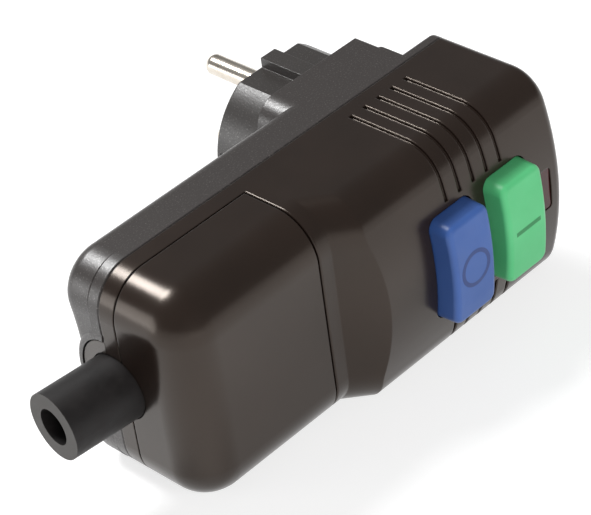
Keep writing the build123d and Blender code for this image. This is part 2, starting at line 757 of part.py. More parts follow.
with BuildPart() as coil_yoke:
    cheek_top = coil_y - 5.8
    add(block((yoke_start, yoke_stop), (board_front - yoke_sheet, board_front), (middle - 6, middle + 6)))
    for x in (yoke_start, yoke_stop - yoke_sheet):
        add(block((x, x + yoke_sheet), (cheek_top, board_front), (middle - 6, middle + 6)))
    with BuildSketch(Plane(origin=(yoke_stop - 2, coil_y, middle), z_dir=(1, 0, 0))):
        Circle(2.7)
    extrude(amount=3, mode=Mode.SUBTRACT)
write("coil_yoke", coil_yoke.part, steel)

# Plunger with the neck that draws the latch lever, and its return spring behind it.
plunger_start = 18.2
neck_start = lever_x - 1.5
neck_stop = lever_x + 1.5
with BuildPart() as trip_plunger:
    for start, stop, radius in (
        (plunger_start, neck_start, 2.44),
        (neck_start, neck_stop, 1.2),
        (neck_stop, neck_stop + 1.2, 2.2),
    ):
        with BuildSketch(Plane(origin=(start, coil_y, middle), z_dir=(1, 0, 0))):
            Circle(radius)
        extrude(amount=stop - start)
write("trip_plunger", trip_plunger.part, steel)
spring_length = plunger_start - bobbin_start
write("plunger_spring", coil((bobbin_start, coil_y, middle), (1, 0, 0), 1.7, spring_length, 2.5, 0.5), steel)

# Forked latch lever on its pin.
lever_top = coil_y - 2.9
with BuildPart() as latch_lever:
    with BuildSketch(Plane.YZ.offset(lever_x - 0.5)):
        with Locations(((lever_top + lever_y) / 2, middle)):
            Rectangle(lever_y - lever_top, 9.0)
        with Locations((lever_top + 2.25, middle)):
            Rectangle(4.5, 3.0, mode=Mode.SUBTRACT)
    extrude(amount=1.0)
    with BuildSketch(Plane.XY.offset(middle - 4.5)):
        with Locations((lever_x, lever_y)):
            Circle(1.9)
    extrude(amount=9.0)
    with BuildSketch(Plane.XY.offset(middle - 4.5)):
        with Locations((lever_x, lever_y)):
            Circle(1.05)
    extrude(amount=9.0, mode=Mode.SUBTRACT)
write("latch_lever", latch_lever.part, steel)
write("lever_pin", rod((lever_x, lever_y, middle - 6.6), (lever_x, lever_y, middle + 6.6), 1.0), steel)

# Contact base: a plate on the board with two ears for the lever pin.
base_front = board_front - 1.4
with BuildPart() as contact_base:
    add(block((31.6, 52.5), (base_front, board_front), (10.0, 40.0)))
    for z in (middle - 6.6, middle + 4.8):
        add(block((lever_x - 2, lever_x + 2), (lever_y - 2.0, board_front), (z, z + 1.8)))
    with BuildSketch(Plane.XY.offset(middle - 8)):
        with Locations((lever_x, lever_y)):
            Circle(1.0)
    extrude(amount=16, mode=Mode.SUBTRACT)
    # Clear space for the lever's barrel and for the reset button's stem.
    barrel = (middle - 4.7, middle + 4.7)
    add(block((lever_x - 2.3, lever_x + 2.3), (base_front - 2, board_front - 0.2), barrel), mode=Mode.SUBTRACT)
    with BuildSketch(at_depth(board_front + 1)):
        with Locations((button_xs["reset"], middle)):
            Rectangle(4.4, 4.4)
    extrude(amount=4, mode=Mode.SUBTRACT)
write("contact_base", contact_base.part, (0.12, 0.12, 0.13))

# Carriage that lifts the moving contacts, guided on the reset button's stem.
carriage_back = base_front - 0.05
carriage_front = carriage_back - 3.0
reset_x = button_xs["reset"]
with BuildPart() as contact_carriage:
    add(block((reset_x - 3.8, reset_x + 3.8), (carriage_front, carriage_back), (10.0, 40.0)))
    with BuildSketch(at_depth(carriage_back)):
        with Locations((reset_x, middle)):
            Rectangle(4.4, 4.4)
    extrude(amount=4, mode=Mode.SUBTRACT)
    edges_long = contact_carriage.edges().filter_by(Axis.Y).group_by(Axis.X)
    fillet(edges_long[0] + edges_long[-1], radius=0.8)
write("contact_carriage", contact_carriage.part, (0.80, 0.78, 0.70))

bridge_front = carriage_front - 0.8
contact_xs = (reset_x - 5.5, reset_x + 5.5)
with BuildPart() as moving_contacts:
    for z in (middle - contact_half, middle + contact_half):
        add(block((reset_x - 7, reset_x + 7), (bridge_front, carriage_front), (z - 2.2, z + 2.2)))
        for x in contact_xs:
            add(rod((x, bridge_front, z), (x, bridge_front - 0.8, z), 1.5))
write("moving_contacts", moving_contacts.part, brass)

# Four fixed contacts, each a bent strip that reaches over a moving one.
tip_gap = 0.05
fixed_tip = bridge_front - 0.8 - contact_travel - tip_gap
with BuildPart() as fixed_contacts:
    for z in (middle - contact_half, middle + contact_half):
        for x, away in ((contact_xs[0], -1), (contact_xs[1], 1)):
            leg = sorted((x + away * 3.4, x + away * 4.2))
            arm = sorted((x - away * 1.6, x + away * 4.2))
            add(block(leg, (fixed_tip - 1.5, base_front), (z - 2.2, z + 2.2)))
            add(block(arm, (fixed_tip - 1.5, fixed_tip - 0.7), (z - 2.2, z + 2.2)))
            add(rod((x, fixed_tip - 0.7, z), (x, fixed_tip, z), 1.5))
write("fixed_contacts", fixed_contacts.part, brass)

# Indicator flag on the carriage: dark under the window when open, red close under it when closed.
flag_rest = crown_front + 3.3 + contact_travel + 0.3
with BuildPart() as indicator_flag:
    add(block((reset_x + 3.8, 52.6), (carriage_back - 2.0, carriage_back), (middle - 2.5, middle + 2.5)))
    add(block((51.2, 52.6), (flag_rest, carriage_back), (middle - 2.5, middle + 2.5)))
    add(block((51.2, 56.4), (flag_rest, flag_rest + 1.6), (middle - 4.6, middle + 4.6)))
write("indicator_flag", indicator_flag.part, (0.75, 0.08, 0.06))

# Button guide: a plate on the housing's posts, with a square hole for each stem.
with BuildPart() as button_guide:
    with BuildSketch(at_depth(guide_back)):
        with Locations(((14.5 + 50.2) / 2 + 0.6, middle)):
            RectangleRounded(35.2, 37.0, 2.0)
        for x in button_xs.values():
            with Locations((x, middle)):
                Rectangle(4.2, 4.2, mode=Mode.SUBTRACT)
    extrude(amount=guide_thick)
write("button_guide", button_guide.part, (0.80, 0.78, 0.70))

cap_ceiling = button_base - cap_depth
spring_reach = guide_front - cap_ceiling
for name, x in button_xs.items():
    write(f"{name}_spring", coil((x, cap_ceiling, middle), (0, 1, 0), 3.6, spring_reach, 4.5, 0.6), steel)
opening_reach = carriage_front - guide_back
write("opening_spring", coil((reset_x, guide_back, middle), (0, 1, 0), 3.1, opening_reach, 4.5, 0.5), steel)

# Leaf that the test button bends to close the test circuit.
leaf_front = guide_back + test_travel + 0.2
with BuildPart() as test_leaf:
    with BuildSketch(Plane.XY.offset(middle - 2.0)):
        with BuildLine():
            FilletPolyline(
                (10.4, board_front - 0.2),
                (13.2, board_front - 0.2),
                (13.2, leaf_front + 0.2),
                (28.0, leaf_front + 0.2),
                radius=0.5,
            )
        trace(line_width=0.4)
    extrude(amount=4.0)
write("test_leaf", test_leaf.part, (0.80, 0.60, 0.35))

# Parts on the board.
with BuildPart() as amplifier_chip:
    add(block((17.0, 26.5), (board_front - 4.0, board_front - 0.8), (36.0, 42.2)))
    for i in range(4):
        x = 18.0 + i * 2.5
        for z in (35.2, 42.6):
            add(block((x - 0.3, x + 0.3), (board_front - 2.6, board_front), (z, z + 0.4)))
            add(block((x - 0.3, x + 0.3), (board_front - 2.6, board_front - 2.2), sorted((z + 0.2, 39.0))))
write("amplifier_chip", amplifier_chip.part, (0.05, 0.05, 0.06))

with BuildPart() as smoothing_capacitor:
    with BuildSketch(at_depth(board_front)):
        with Locations((21.0, 11.0)):
            Circle(4.0)
    extrude(amount=10.0)
    fillet(smoothing_capacitor.faces().sort_by(Axis.Y)[0].edges(), radius=0.6)
write("smoothing_capacitor", smoothing_capacitor.part, (0.10, 0.12, 0.30))

with BuildPart() as surge_absorber:
    with BuildSketch(Plane(origin=(27.6, board_front - 6.4, 11.5), z_dir=(1, 0, 0))):
        Circle(4.6)
    extrude(amount=2.6)
    for z in (9.0, 14.0):
        add(rod((28.9, board_front, z), (28.9, board_front - 4.5, z), 0.4))
write("surge_absorber", surge_absorber.part, (0.10, 0.25, 0.65))

with BuildPart() as test_resistor:
    resistor_y = board_front - 2.2
    add(rod((29.0, resistor_y, 33.0), (29.0, resistor_y, 41.0), 1.5))
    for z in (31.8, 42.2):
        add(rod((29.0, resistor_y, z), (29.0, board_front, z), 0.35))
        add(rod((29.0, resistor_y, min(z, 37)), (29.0, resistor_y, max(z, 37)), 0.35))
write("test_resistor", test_resistor.part, (0.75, 0.65, 0.45))

# Terminal block on the rear housing's floor: three chambers with brass clamps and screws.
block_x = (-24.0, -10.0)
floor_y = rear_back - wall
with BuildPart() as terminal_block:
    add(block(block_x, (seam - 9.6, floor_y), (terminal_zs[0] - 5.2, terminal_zs[2] + 5.2)))
    for z in terminal_zs:
        pocket = (block_x[0] + 1.2, block_x[1] - 1.2)
        add(block(pocket, (seam - 12, seam - 0.6), (z - 4.0, z + 4.0)), mode=Mode.SUBTRACT)
        with BuildSketch(Plane(origin=(block_x[0] - 1, seam - 4.1, z), z_dir=(1, 0, 0))):
            Circle(2.2)
        extrude(amount=16, mode=Mode.SUBTRACT)
write("terminal_block", terminal_block.part, (0.85, 0.83, 0.75))

with BuildPart() as terminal_clamps:
    for z in terminal_zs:
        add(block((block_x[0] + 1.4, block_x[1] - 1.4), (seam - 7.6, seam - 0.6), (z - 3.8, z + 3.8)))
        with BuildSketch(Plane(origin=(block_x[0], seam - 4.1, z), z_dir=(1, 0, 0))):
            Circle(1.8)
        extrude(amount=16, mode=Mode.SUBTRACT)
        with BuildSketch(at_depth(seam - 2.3)):
            with Locations((-19.0, z)):
                Circle(1.45)
        extrude(amount=6, mode=Mode.SUBTRACT)
write("terminal_clamps", terminal_clamps.part, brass)

with BuildPart() as terminal_screws:
    for z in terminal_zs:
        add(screw((-19.0, z), seam - 8.4, 4.3, -1))
write("terminal_screws", terminal_screws.part, steel)

# Cord clamp: an arched bar over the cord, on the rear housing's posts.
clamp_y = cord_y - bore_radius - 0.2
with BuildPart() as cord_clamp:
    with BuildSketch(Plane.YZ.offset(-32.0)):
        with Locations((clamp_y - 1.2, middle)):
            Rectangle(2.4, 28.0)
        with Locations((clamp_y - 1.8, middle)):
            Rectangle(3.6, 12.0)
        with Locations((cord_y, middle)):
            Circle(bore_radius + 1.2, mode=Mode.SUBTRACT)
    extrude(amount=7.0)
    with Locations(*[Plane(origin=(x, clamp_y - 2.4, z), z_dir=(0, -1, 0)) for x, z in clamp_screw_places]):
        Hole(screw_shank + 0.15, depth=6)
write("cord_clamp", cord_clamp.part, (0.80, 0.78, 0.70))

with BuildPart() as cord_clamp_screws:
    for place in clamp_screw_places:
        add(screw(place, clamp_y - 2.4, 9.0, -1))
write("cord_clamp_screws", cord_clamp_screws.part, steel)

with BuildPart() as cover_screws:
    for place in cover_screw_places:
        add(screw(place, rear_back - wall + 0.2, 22.0, 1))
write("cover_screws", cover_screws.part, steel)

with BuildPart() as housing_screws:
    for x, z in housing_screw_places:
        seat = rear_back - wall + 0.2 if x < tower_start else rim_back - 1.6
        add(screw((x, z), seat, seat - board_front + 12.0, 1))
write("housing_screws", housing_screws.part, steel)
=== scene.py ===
import bpy
import bmesh
import math
from mathutils import Matrix, Vector


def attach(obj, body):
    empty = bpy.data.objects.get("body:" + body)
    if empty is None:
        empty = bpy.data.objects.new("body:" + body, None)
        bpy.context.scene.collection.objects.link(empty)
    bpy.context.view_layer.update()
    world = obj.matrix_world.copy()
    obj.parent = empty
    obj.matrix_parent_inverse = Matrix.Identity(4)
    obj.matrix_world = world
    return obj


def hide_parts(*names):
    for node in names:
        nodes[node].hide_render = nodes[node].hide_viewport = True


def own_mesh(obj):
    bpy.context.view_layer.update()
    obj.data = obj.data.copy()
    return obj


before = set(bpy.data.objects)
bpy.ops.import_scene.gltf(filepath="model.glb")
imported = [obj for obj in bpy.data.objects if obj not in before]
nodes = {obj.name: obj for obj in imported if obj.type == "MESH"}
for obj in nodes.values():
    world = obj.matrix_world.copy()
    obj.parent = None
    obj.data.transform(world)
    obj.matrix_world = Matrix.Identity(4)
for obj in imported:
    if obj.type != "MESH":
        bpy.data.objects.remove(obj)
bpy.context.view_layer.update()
scene = bpy.context.scene
scene.view_settings.view_transform = "Standard"
print("stage: frame loaded,", len(nodes), "nodes")

mm = 0.001
edgeSamples = 12

# The camera stands where the photograph was taken from, found from points on the plug itself.
cameraSettings = {
    "azimuth": math.radians(-41.68),
    "elevation": math.radians(36.7),
    "roll": math.radians(-8.33),
    "focalPixels": 2536.0,
    "distance": 518 * mm,
    "imageWidth": 591,
    "imageHeight": 515,
    "aimPixel": (286.23, 255.15),
    "aimPoint": Vector((6.4, -9.4, 25.0)) * mm,
    "sensor": 36.0,
    "clip": (0.01, 20),
}


def placeCamera(s):
    azimuth, elevation, roll = s["azimuth"], s["elevation"], s["roll"]
    back = Vector((
        math.sin(azimuth) * math.cos(elevation),
        -math.cos(azimuth) * math.cos(elevation),
        math.sin(elevation),
    ))
    level = Vector((math.cos(azimuth), math.sin(azimuth), 0))
    plumb = back.cross(level)
    right = math.cos(roll) * level + math.sin(roll) * plumb
    up = math.cos(roll) * plumb - math.sin(roll) * level
    sideways = (s["aimPixel"][0] - s["imageWidth"] / 2) / s["focalPixels"] * s["distance"]
    upwards = (s["imageHeight"] / 2 - s["aimPixel"][1]) / s["focalPixels"] * s["distance"]
    data = bpy.data.cameras.new("photoCamera")
    data.sensor_fit = "HORIZONTAL"
    data.sensor_width = s["sensor"]
    data.lens = s["focalPixels"] / s["imageWidth"] * s["sensor"]
    data.clip_start, data.clip_end = s["clip"]
    camera = bpy.data.objects.new("photoCamera", data)
    scene.collection.objects.link(camera)
    turned = Matrix((right, up, back)).transposed().to_4x4()
    turned.translation = s["aimPoint"] + back * s["distance"] - right * sideways - up * upwards
    camera.matrix_world = turned
    scene.camera = camera


placeCamera(cameraSettings)
print("stage: camera placed")


# Small helpers for node trees. Links are written from socket to socket.
def startMaterial(name):
    material = bpy.data.materials.new(name)
    material.use_nodes = True
    tree = material.node_tree
    shader = tree.nodes["Principled BSDF"]
    coords = tree.nodes.new("ShaderNodeTexCoord").outputs["Object"]
    return material, tree, shader, coords


def noise(tree, coords, scale, detail=2.0, roughness=0.5, stretch=None):
    if stretch:
        mapping = tree.nodes.new("ShaderNodeMapping")
        mapping.inputs["Scale"].default_value = stretch
        tree.links.new(coords, mapping.inputs["Vector"])
        coords = mapping.outputs["Vector"]
    texture = tree.nodes.new("ShaderNodeTexNoise")
    texture.inputs["Scale"].default_value = scale
    texture.inputs["Detail"].default_value = detail
    texture.inputs["Roughness"].default_value = roughness
    tree.links.new(coords, texture.inputs["Vector"])
    return texture.outputs["Fac"]


def spread(tree, value, low, high, fromLow=0.3, fromHigh=0.7):
    reach = tree.nodes.new("ShaderNodeMapRange")
    reach.inputs["From Min"].default_value = fromLow
    reach.inputs["From Max"].default_value = fromHigh
    reach.inputs["To Min"].default_value = low
    reach.inputs["To Max"].default_value = high
    tree.links.new(value, reach.inputs["Value"])
    return reach.outputs["Result"]


def blendColours(tree, factor, first, second):
    mix = tree.nodes.new("ShaderNodeMix")
    mix.data_type = "RGBA"
    mix.inputs["A"].default_value = (*first, 1)
    mix.inputs["B"].default_value = (*second, 1)
    tree.links.new(factor, mix.inputs["Factor"])
    return mix.outputs["Result"]


def bump(tree, shader, height, strength, distance, edge=0.0):
    # An edge radius makes the sharp edges of a moulding catch the light as rounded ones do.
    node = tree.nodes.new("ShaderNodeBump")
    if edge:
        rounded = tree.nodes.new("ShaderNodeBevel")
        rounded.samples = edgeSamples
        rounded.inputs["Radius"].default_value = edge
        tree.links.new(rounded.outputs["Normal"], node.inputs["Normal"])
    node.inputs["Strength"].default_value = strength
    node.inputs["Distance"].default_value = distance
    tree.links.new(height, node.inputs["Height"])
    tree.links.new(node.outputs["Normal"], shader.inputs["Normal"])


def waves(tree, coords, scale, stretch, distortion=0.0, profile="SIN"):
    mapping = tree.nodes.new("ShaderNodeMapping")
    mapping.inputs["Scale"].default_value = stretch
    tree.links.new(coords, mapping.inputs["Vector"])
    texture = tree.nodes.new("ShaderNodeTexWave")
    texture.wave_profile = profile
    texture.bands_direction = "X"
    texture.inputs["Scale"].default_value = scale
    texture.inputs["Distortion"].default_value = distortion
    tree.links.new(mapping.outputs["Vector"], texture.inputs["Vector"])
    return texture.outputs["Fac"]


def along(tree, coords, axis, point=(0, 0, 0)):
    # Distance of a point on the piece from a plane, measured along an axis.
    shift = tree.nodes.new("ShaderNodeVectorMath")
    shift.operation = "SUBTRACT"
    shift.inputs[1].default_value = point
    tree.links.new(coords, shift.inputs[0])
    dot = tree.nodes.new("ShaderNodeVectorMath")
    dot.operation = "DOT_PRODUCT"
    dot.inputs[1].default_value = axis
    tree.links.new(shift.outputs["Vector"], dot.inputs[0])
    return dot.outputs["Value"]


def times(tree, first, second):
    node = tree.nodes.new("ShaderNodeMath")
    node.operation = "MULTIPLY"
    tree.links.new(first, node.inputs[0])
    tree.links.new(second, node.inputs[1])
    return node.outputs["Value"]


# Colours are linear. Each moulding has a slow drift of colour and a fine skin of its own.
def mouldedPlastic(name, s):
    material, tree, shader, coords = startMaterial(name)
    drift = noise(tree, coords, s["driftScale"], 3)
    colour = blendColours(tree, spread(tree, drift, 0, 1), s["colour"], s["colourTwo"])
    tree.links.new(colour, shader.inputs["Base Color"])
    smear = noise(tree, coords, s["smearScale"], s.get("smearDetail", 4), 0.5)
    tree.links.new(
        spread(tree, smear, s["roughness"][0], s["roughness"][1]), shader.inputs["Roughness"]
    )
    shader.inputs["Specular Tint"].default_value = (*s.get("tint", (1, 1, 1)), 1)
    shader.inputs["Specular IOR Level"].default_value = s.get("shine", 0.5)
    shader.inputs["Coat Weight"].default_value = s.get("coat", 0)
    shader.inputs["Coat Roughness"].default_value = s.get("coatRoughness", 0.1)
    grain = noise(tree, coords, s["grainScale"], 3)
    bump(tree, shader, grain, s["grainStrength"], s["grainDepth"], s.get("edge", 0))
    return material


# The rear half has a spark-eroded skin. Where a fine noise runs high, the base colour is painted lighter as
# glints, a painted highlight, and the same spots are less rough.
def sparkPlastic(name, s):
    material, tree, shader, coords = startMaterial(name)
    grain = noise(tree, coords, s["grainScale"], 2, 0.6)
    glint = noise(tree, coords, s["glintScale"], 1)
    paintedGlintMask = spread(tree, glint, 0, 1, *s["speckEdge"])
    tree.links.new(blendColours(tree, paintedGlintMask, s["colour"], s["glint"]), shader.inputs["Base Color"])
    tree.links.new(
        spread(tree, glint, s["roughness"][1], s["roughness"][0], *s["polishEdge"]),
        shader.inputs["Roughness"],
    )
    shader.inputs["Specular IOR Level"].default_value = s.get("shine", 0.5)
    bump(tree, shader, grain, s["grainStrength"], s["grainDepth"], s.get("edge", 0))
    return material


def metal(name, s):
    material, tree, shader, coords = startMaterial(name)
    stain = noise(tree, coords, s["stainScale"], 4, 0.6)
    tree.links.new(
        blendColours(tree, spread(tree, stain, 0, 1), s["colour"], s["colourTwo"]),
        shader.inputs["Base Color"],
    )
    shader.inputs["Metallic"].default_value = 1.0
    scratch = noise(tree, coords, s["scratchScale"], 3, 0.6, s["stretch"])
    tree.links.new(
        spread(tree, scratch, s["roughness"][0], s["roughness"][1]), shader.inputs["Roughness"]
    )
    bump(tree, shader, scratch, s["scratchStrength"], s["scratchDepth"])
    return material


# Rubber with a paler face where the tail was cut to length.
def cutRubber(name, s):
    material, tree, shader, coords = startMaterial(name)
    lean = math.radians(s["lean"])
    reach = along(tree, coords, (-math.cos(lean), math.sin(lean), 0), s["cutPoint"])
    face = spread(tree, reach, 0, 1, *s["cutEdge"])
    bloom = spread(tree, noise(tree, coords, s["bloomScale"], 4, 0.65), 0, 1, *s["bloomEdge"])
    skin = blendColours(tree, bloom, s["colour"], s["colourTwo"])
    cut = blendColours(tree, bloom, s["cutPaintedShade"], s["cutColourTwo"])
    mix = tree.nodes.new("ShaderNodeMix")
    mix.data_type = "RGBA"
    tree.links.new(face, mix.inputs["Factor"])
    tree.links.new(skin, mix.inputs["A"])
    tree.links.new(cut, mix.inputs["B"])
    tree.links.new(mix.outputs["Result"], shader.inputs["Base Color"])
    tree.links.new(
        spread(tree, bloom, s["roughness"][0], s["roughness"][1], 0, 1), shader.inputs["Roughness"]
    )
    shader.inputs["Specular IOR Level"].default_value = s["shine"]
    grain = noise(tree, coords, s["grainScale"], 3, 0.6, s["grainStretch"])
    bump(tree, shader, grain, s["grainStrength"], s["grainDepth"])
    return material


# Two colours in stripes across one direction, for insulation, colour rings and printed sleeves.
def striped(name, s):
    material, tree, shader, coords = startMaterial(name)
    band = waves(tree, coords, s["bandScale"], s["bandStretch"], s.get("waver", 0.2))
    edge = spread(tree, band, 0, 1, s["edge"][0], s["edge"][1])
    tree.links.new(blendColours(tree, edge, s["colour"], s["bandPaintedShade"]), shader.inputs["Base Color"])
    skin = noise(tree, coords, s["skinScale"], 4)
    tree.links.new(
        spread(tree, skin, s["roughness"][0], s["roughness"][1]), shader.inputs["Roughness"]
    )
    bump(tree, shader, skin, s["skinStrength"], s["skinDepth"])
    return material


# Wound wire: fine ridges, with the base colour painted darker in the valleys between turns as painted shade.
def woundWire(name, s):
    material, tree, shader, coords = startMaterial(name)
    ridge = waves(tree, coords, s["pitchScale"], s["pitchStretch"], 0.4)
    tree.links.new(blendColours(tree, ridge, s["paintedValleyShade"], s["colour"]), shader.inputs["Base Color"])
    shader.inputs["Metallic"].default_value = 0.9
    shader.inputs["Coat Weight"].default_value = 0.6
    enamel = noise(tree, coords, s["enamelScale"], 3)
    tree.links.new(
        spread(tree, enamel, s["roughness"][0], s["roughness"][1]), shader.inputs["Roughness"]
    )
    bump(tree, shader, ridge, s["ridgeStrength"], s["ridgeDepth"])
    return material


# Green solder mask over copper tracks, which show as a paler, raised pattern.
def boardMask(name, s):
    material, tree, shader, coords = startMaterial(name)
    weave = times(
        tree,
        waves(tree, coords, s["weaveScale"], (1, 0, 0)),
        waves(tree, coords, s["weaveScale"], (0, 0, 1)),
    )
    cells = tree.nodes.new("ShaderNodeTexVoronoi")
    cells.feature = "DISTANCE_TO_EDGE"
    cells.inputs["Scale"].default_value = s["trackScale"]
    tree.links.new(coords, cells.inputs["Vector"])
    track = spread(tree, cells.outputs["Distance"], 1, 0, *s["trackEdge"])
    colour = blendColours(tree, track, s["colour"], s["trackPaintedShade"])
    tree.links.new(colour, shader.inputs["Base Color"])
    tree.links.new(spread(tree, weave, *s["roughness"], 0, 1), shader.inputs["Roughness"])
    bump(tree, shader, track, s["trackStrength"], s["trackDepth"])
    return material


# The dark red window, which lets the flag behind it show through.
def smokedLens(name, s):
    material, tree, shader, coords = startMaterial(name)
    cloud = noise(tree, coords, s["cloudScale"], 3)
    tree.links.new(
        blendColours(tree, spread(tree, cloud, 0, 1), s["colour"], s["colourTwo"]),
        shader.inputs["Base Color"],
    )
    shader.inputs["Transmission Weight"].default_value = s["clear"]
    shader.inputs["IOR"].default_value = s["bend"]
    tree.links.new(
        spread(tree, cloud, s["roughness"][0], s["roughness"][1]), shader.inputs["Roughness"]
    )
    bump(tree, shader, cloud, s["cloudStrength"], s["cloudDepth"])
    return material


def dress(material, *names):
    for name in names:
        mesh = nodes[name].data
        mesh.materials.clear()
        mesh.materials.append(material)


frontSkin = {
    "colour": (0.011, 0.0066, 0.0050),
    "colourTwo": (0.016, 0.0098, 0.0074),
    "tint": (1.0, 0.85, 0.73),
    "edge": 0.42 * mm,
    "driftScale": 60,
    "smearScale": 90,
    "smearDetail": 1,
    "roughness": (0.22, 0.268),
    "shine": 0.44,
    "coat": 0.15,
    "coatRoughness": 0.2,
    "grainScale": 700,
    "grainStrength": 0.05,
    "grainDepth": 0.01 * mm,
}
dress(mouldedPlastic("frontHousingPlastic", frontSkin), "front_housing")

coverSkin = {
    "colour": (0.011, 0.0068, 0.0052),
    "colourTwo": (0.016, 0.0100, 0.0076),
    "tint": (1.0, 0.85, 0.73),
    "edge": 0.22 * mm,
    "driftScale": 45,
    "smearScale": 70,
    "smearDetail": 1,
    "roughness": (0.21, 0.265),
    "shine": 0.44,
    "coat": 0.15,
    "coatRoughness": 0.22,
    "grainScale": 600,
    "grainStrength": 0.04,
    "grainDepth": 0.01 * mm,
}
dress(mouldedPlastic("coverPlastic", coverSkin), "terminal_cover")

rearSkin = {
    "colour": (0.028, 0.023, 0.0215),
    # glint: a lighter base colour painted on the specks as highlights
    "glint": (0.105, 0.097, 0.091),
    "shine": 0.72,
    "speckEdge": (0.62, 0.72),
    "polishEdge": (0.45, 0.7),
    "edge": 0.2 * mm,
    "grainScale": 2200,
    "glintScale": 3000,
    "roughness": (0.285, 0.38),
    "grainStrength": 0.6,
    "grainDepth": 0.05 * mm,
}
dress(sparkPlastic("rearHousingPlastic", rearSkin), "rear_housing")
dress(sparkPlastic("insertPlastic", dict(rearSkin, colour=(0.030, 0.026, 0.024))), "plug_insert")

sleeveSkin = {
    "colour": (0.007, 0.006, 0.006),
    "colourTwo": (0.013, 0.0112, 0.011),
    "cutPaintedShade": (0.052, 0.048, 0.045),
    "cutColourTwo": (0.085, 0.080, 0.075),
    "cutPoint": Vector((-58.813, -9.645, 25.0)) * mm,
    "cutEdge": (-0.12 * mm, -0.03 * mm),
    "lean": 5.4,
    "shine": 0.32,
    "bloomEdge": (0.3, 0.75),
    "bloomScale": 260,
    "roughness": (0.45, 0.65),
    "grainScale": 1500,
    "grainStretch": (0.25, 1, 1),
    "grainStrength": 0.3,
    "grainDepth": 0.05 * mm,
}
dress(cutRubber("sleeveRubber", sleeveSkin), "cable_sleeve")

testSkin = {
    "colour": (0.037, 0.096, 0.31),
    "colourTwo": (0.046, 0.112, 0.35),
    "driftScale": 90,
    "smearScale": 240,
    "roughness": (0.36, 0.46),
    "grainScale": 2200,
    "grainStrength": 0.25,
    "grainDepth": 0.03 * mm,
}
resetSkin = dict(testSkin, colour=(0.085, 0.49, 0.19), colourTwo=(0.105, 0.54, 0.22))
dress(mouldedPlastic("testBlue", testSkin), "test_button")
dress(mouldedPlastic("resetGreen", resetSkin), "reset_button")

lensSkin = {
    "colour": (0.055, 0.002, 0.002),
    "colourTwo": (0.075, 0.003, 0.003),
    "clear": 0.4,
    "bend": 1.49,
    "cloudScale": 300,
    "cloudStrength": 0.05,
    "cloudDepth": 0.01 * mm,
    "roughness": (0.05, 0.12),
}
dress(smokedLens("windowRed", lensSkin), "window_lens")

nickelSkin = {
    "colour": (0.74, 0.69, 0.62),
    "colourTwo": (0.60, 0.54, 0.46),
    "stainScale": 300,
    "scratchScale": 900,
    "stretch": (1, 0.06, 1),
    "roughness": (0.15, 0.26),
    "scratchStrength": 0.25,
    "scratchDepth": 0.02 * mm,
}
dress(metal("pinNickel", nickelSkin), "live_pin", "neutral_pin")
earthSkin = dict(nickelSkin, roughness=(0.24, 0.4), scratchScale=600, stretch=(1, 0.1, 1))
dress(metal("earthNickel", earthSkin), "earth_clip")

brassSkin = {
    "colour": (0.70, 0.50, 0.19),
    "colourTwo": (0.52, 0.33, 0.12),
    "stainScale": 420,
    "scratchScale": 1100,
    "stretch": (0.15, 1, 1),
    "roughness": (0.24, 0.42),
    "scratchStrength": 0.3,
    "scratchDepth": 0.02 * mm,
}
dress(metal("stripBrass", brassSkin), "live_inlet_strip", "neutral_inlet_strip", "test_leaf")
clampSkin = dict(brassSkin, roughness=(0.3, 0.5), scratchScale=700, stretch=(1, 1, 0.1))
dress(metal("clampBrass", clampSkin), "terminal_clamps")
contactSkin = dict(brassSkin, colour=(0.78, 0.66, 0.50), colourTwo=(0.62, 0.44, 0.26))
dress(metal("contactBrass", contactSkin), "moving_contacts", "fixed_contacts")

steelSkin = {
    "colour": (0.58, 0.59, 0.61),
    "colourTwo": (0.44, 0.45, 0.48),
    "stainScale": 500,
    "scratchScale": 1300,
    "stretch": (1, 0.2, 1),
    "roughness": (0.22, 0.42),
    "scratchStrength": 0.25,
    "scratchDepth": 0.02 * mm,
}
dress(metal("screwZinc", steelSkin), "housing_screws", "cover_screws", "terminal_screws", "cord_clamp_screws")
sheetSkin = dict(steelSkin, roughness=(0.3, 0.5), stretch=(0.1, 1, 1), scratchScale=800)
dress(metal("sheetSteel", sheetSkin), "coil_yoke", "latch_lever")
turnedSkin = dict(steelSkin, stretch=(1, 1, 1), roughness=(0.15, 0.3))
dress(metal("turnedSteel", turnedSkin), "trip_plunger", "lever_pin")
springSkin = dict(steelSkin, colour=(0.42, 0.43, 0.46), colourTwo=(0.28, 0.27, 0.27), stretch=(1, 1, 1))
springSteel = metal("springSteel", springSkin)

creamSkin = {
    "colour": (0.66, 0.61, 0.50),
    "colourTwo": (0.72, 0.67, 0.56),
    "driftScale": 120,
    "smearScale": 320,
    "roughness": (0.36, 0.5),
    "grainScale": 1800,
    "grainStrength": 0.25,
    "grainDepth": 0.03 * mm,
}
dress(mouldedPlastic("creamMoulding", creamSkin), "coil_bobbin", "contact_carriage", "button_guide")
blockSkin = dict(creamSkin, colour=(0.58, 0.55, 0.48), colourTwo=(0.66, 0.62, 0.53), driftScale=220)
dress(mouldedPlastic("terminalMoulding", blockSkin), "terminal_block", "cord_clamp")
blackSkin = dict(creamSkin, colour=(0.016, 0.016, 0.017), colourTwo=(0.024, 0.023, 0.022))
dress(mouldedPlastic("contactBaseMoulding", blackSkin), "contact_base")
chipSkin = dict(blackSkin, roughness=(0.5, 0.65), grainScale=3200, grainStrength=0.4)
dress(mouldedPlastic("chipResin", chipSkin), "amplifier_chip")
flagSkin = dict(creamSkin, colour=(0.60, 0.035, 0.022), colourTwo=(0.66, 0.05, 0.03))
dress(mouldedPlastic("flagRed", flagSkin), "indicator_flag")
absorberSkin = dict(creamSkin, colour=(0.03, 0.12, 0.50), colourTwo=(0.04, 0.15, 0.56), coat=0.7)
dress(mouldedPlastic("absorberResin", absorberSkin), "surge_absorber")

